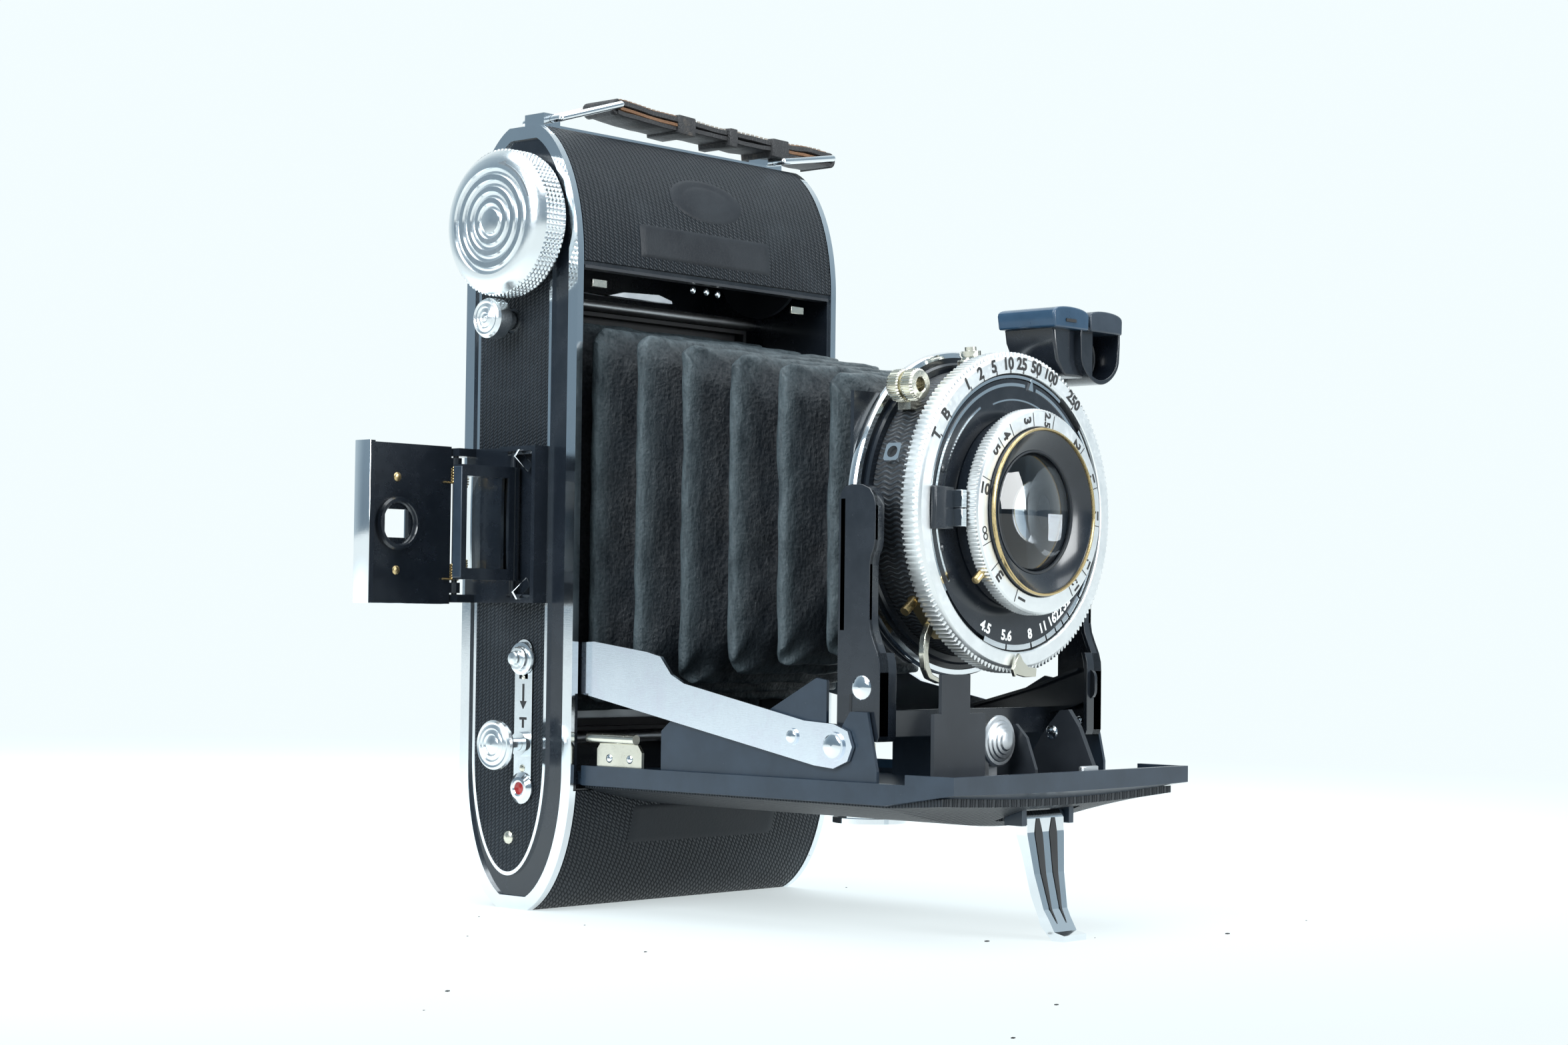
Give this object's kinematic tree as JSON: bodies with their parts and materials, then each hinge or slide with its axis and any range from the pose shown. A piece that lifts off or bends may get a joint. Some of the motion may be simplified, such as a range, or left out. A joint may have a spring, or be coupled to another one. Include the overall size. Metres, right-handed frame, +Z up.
{
  "type": "folding bellows roll-film camera",
  "caption": "Folding bellows film camera standing on its end: drop bed with foot, leaf shutter lens on a folding standard, side finder, winding knob, strap.",
  "frame": {"origin": "centre of the camera body's lower end, on the surface it stands on", "axes": "+Z up along the body, -Y out of the lens, -X towards the side with the winding knob and the folding finder"},
  "size_m": [0.1197, 0.1258, 0.1651],
  "materials": {
    "black_enamel": "gloss black",
    "chrome": "polished",
    "leather_black": "embossed fine weave",
    "strap_leather": "worn smooth",
    "bellows_cloth": "folded leathercloth",
    "steel": "satin",
    "black_crackle": "wave-engraved black",
    "glass": "clear",
    "red_glass": "red",
    "spool_paint": "satin",
    "nickel": "satin nickel",
    "dial_silver": "satin"
  },
  "bodies": {
    "camera_body": {"body_shell": "black_enamel", "side_trim_left": "chrome", "side_trim_right": "chrome", "side_lines": "chrome", "side_leather_right": "leather_black", "side_leather_left": "leather_black", "front_leather_top": "leather_black", "front_leather_bottom": "leather_black", "opening_lip": "black_enamel", "film_gate": "black_enamel", "film_rollers": "steel", "bellows": "bellows_cloth", "top_plate": "chrome", "wire_loops": "chrome", "carry_strap": "strap_leather", "release_plate": "chrome", "indicator_bezel": "chrome", "finder_base": "black_enamel"},
    "winder": {"winding_knob": "chrome"},
    "takeup": {"takeup_spool": "spool_paint"},
    "supply": {"supply_spool": "spool_paint"},
    "bed_release": {"bed_button": "chrome"},
    "tee": {"t_slider": "chrome"},
    "body_release": {"release_button": "chrome"},
    "finder_rear": {"finder_cover": "chrome", "finder_eyepiece": "steel"},
    "finder_front": {"finder_frame": "black_enamel", "finder_lens": "glass"},
    "back": {"back_door": "black_enamel", "back_leather": "leather_black", "window_glass": "red_glass", "pressure_plate": "steel"},
    "window": {"window_cover": "steel"},
    "latch": {"back_latch": "steel"},
    "bed": {"bed_pan": "black_enamel", "bed_leather": "leather_black", "tripod_bush": "steel", "carrier_plates": "black_enamel", "spring_plungers": "steel", "bed_brackets": "black_enamel", "lock_knob": "chrome"},
    "foot": {"bed_foot": "chrome"},
    "brace_left": {"strut_left": "chrome"},
    "brace_right": {"strut_right": "chrome"},
    "standard": {"standard_frame": "black_enamel", "backing_plate": "black_enamel", "shutter_housing": "black_crackle", "rear_cell": "black_enamel", "face_plate": "black_enamel", "cable_socket": "nickel", "reflex_body": "black_enamel", "reflex_lens": "glass", "reflex_top": "black_enamel"},
    "speeds": {"speed_ring": "dial_silver"},
    "cocking": {"cocking_lever": "nickel"},
    "trip": {"release_lever": "nickel"},
    "aperture": {"aperture_pointer": "nickel"},
    "front_cell": {"focus_ring": "dial_silver", "name_ring": "black_enamel", "front_lens": "glass"}
  },
  "joints": [
    {"name": "bed_hinge", "type": "hinge", "parent": "camera_body", "child": "bed", "pos_m": [0, -0.0145, 0.0265], "axis": [-1, 0, 0], "range_deg": [0, 90], "deforming": ["bellows"]},
    {"name": "standard_fold", "type": "hinge", "parent": "bed", "child": "standard", "pos_m": [0, -0.0523, 0.0737], "axis": [-1, 0, 0], "range_deg": [-90, 0]},
    {"name": "strut_left_hinge", "type": "hinge", "parent": "camera_body", "child": "brace_left", "pos_m": [-0.0354, -0.007, 0.048], "axis": [-1, 0, 0], "range_deg": [0, 100.8]},
    {"name": "strut_right_hinge", "type": "hinge", "parent": "camera_body", "child": "brace_right", "pos_m": [0.0354, -0.007, 0.048], "axis": [-1, 0, 0], "range_deg": [0, 100.8]},
    {"name": "foot_hinge", "type": "hinge", "parent": "bed", "child": "foot", "pos_m": [0, -0.101, 0.0224], "axis": [1, 0, 0], "range_deg": [0, 60]},
    {"name": "knob_turn", "type": "hinge", "parent": "camera_body", "child": "winder", "pos_m": [-0.043, 0, 0.136], "axis": [1, 0, 0], "continuous": true},
    {"name": "takeup_turn", "type": "hinge", "parent": "camera_body", "child": "takeup", "pos_m": [0, 0, 0.136], "axis": [1, 0, 0], "continuous": true},
    {"name": "supply_turn", "type": "hinge", "parent": "camera_body", "child": "supply", "pos_m": [0, 0, 0.0203], "axis": [1, 0, 0], "continuous": true},
    {"name": "bed_button_press", "type": "slide", "parent": "camera_body", "child": "bed_release", "axis": [1, 0, 0], "range_m": [0, 0.0012], "stiffness_N_per_m": 400},
    {"name": "tee_slide", "type": "slide", "parent": "camera_body", "child": "tee", "axis": [0, 0, -1], "range_m": [0, 0.0027]},
    {"name": "release_press", "type": "slide", "parent": "camera_body", "child": "body_release", "axis": [1, 0, 0], "range_m": [0, 0.0024], "stiffness_N_per_m": 400},
    {"name": "finder_cover_hinge", "type": "hinge", "parent": "camera_body", "child": "finder_rear", "pos_m": [-0.0426, 0.0142, 0.0761], "axis": [0, 0, 1], "range_deg": [0, 28]},
    {"name": "finder_frame_hinge", "type": "hinge", "parent": "camera_body", "child": "finder_front", "pos_m": [-0.0408, -0.0012, 0.0762], "axis": [0, 0, -1], "range_deg": [0, 85]},
    {"name": "back_hinge", "type": "hinge", "parent": "camera_body", "child": "back", "pos_m": [0, 0.0088, 0.0062], "axis": [-1, 0, 0], "range_deg": [0, 100]},
    {"name": "window_slide", "type": "slide", "parent": "back", "child": "window", "axis": [0, 0, 1], "range_m": [0, 0.007]},
    {"name": "latch_slide", "type": "slide", "parent": "camera_body", "child": "latch", "axis": [1, 0, 0], "range_m": [0, 0.004]},
    {"name": "speed_turn", "type": "hinge", "parent": "standard", "child": "speeds", "pos_m": [0, -0.0934, 0.0784], "axis": [0, 1, 0], "range_deg": [-90, 60]},
    {"name": "cocking_turn", "type": "hinge", "parent": "standard", "child": "cocking", "pos_m": [0, -0.0862, 0.0784], "axis": [0, 1, 0], "range_deg": [0, 24]},
    {"name": "trip_turn", "type": "hinge", "parent": "standard", "child": "trip", "pos_m": [0, -0.0886, 0.0784], "axis": [0, 1, 0], "range_deg": [0, 10]},
    {"name": "aperture_turn", "type": "hinge", "parent": "standard", "child": "aperture", "pos_m": [0, -0.0964, 0.0784], "axis": [0, 1, 0], "range_deg": [-45, 45]},
    {"name": "focus_turn", "type": "hinge", "parent": "standard", "child": "front_cell", "pos_m": [0, -0.098, 0.0784], "axis": [0, 1, 0], "range_deg": [-150, 150]}
  ],
  "couplings": [
    {"joint": "standard_fold", "follows": "bed_hinge", "ratio": -1},
    {"joint": "strut_left_hinge", "follows": "bed_hinge", "ratio": 1.12},
    {"joint": "strut_right_hinge", "follows": "bed_hinge", "ratio": 1.12},
    {"joint": "takeup_turn", "follows": "knob_turn", "ratio": 1}
  ]
}
